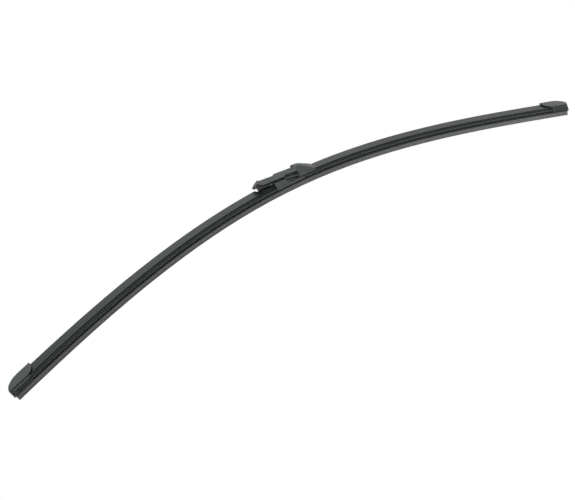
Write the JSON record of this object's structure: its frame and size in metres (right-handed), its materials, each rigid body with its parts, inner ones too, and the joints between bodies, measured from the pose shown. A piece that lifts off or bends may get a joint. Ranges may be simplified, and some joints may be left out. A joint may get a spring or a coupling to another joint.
{
  "type": "wiper blade",
  "caption": "Flat windscreen wiper blade: curved spring rails in an asymmetric spoiler, rubber squeegee, end caps and a pivoting arm adapter.",
  "frame": {"origin": "middle of the pivot axis, where the arm's adapter carries the blade", "axes": "+X along the blade towards the fairing, +Y across the blade, +Z away from the glass"},
  "size_m": [0.6918, 0.015, 0.0902],
  "materials": {
    "squeegee_rubber": "matte, slightly greyed along the lip",
    "spring_steel": "rolled strip",
    "spoiler_black": "satin extrusion",
    "cap_black": "fine moulded grain",
    "base_black": "fine moulded grain",
    "adapter_grey": "fine moulded grain, dark grey",
    "pin_steel": "drawn pin"
  },
  "bodies": {
    "adapter": {"arm_adapter": "adapter_grey", "cross_pin": "pin_steel"},
    "blade": {"connector_base": "base_black", "pivot_pin": "pin_steel", "fairing": "base_black", "spoiler_left": "spoiler_black", "spoiler_right": "spoiler_black", "end_cap_left": "cap_black", "end_cap_right": "cap_black", "rail_front": "spring_steel", "rail_rear": "spring_steel", "wiper_rubber": "squeegee_rubber"}
  },
  "joints": [
    {"name": "blade_pivot", "type": "hinge", "parent": "adapter", "child": "blade", "pos_m": [0, 0, 0], "axis": [0, 1, 0], "range_deg": [-10, 0]}
  ]
}
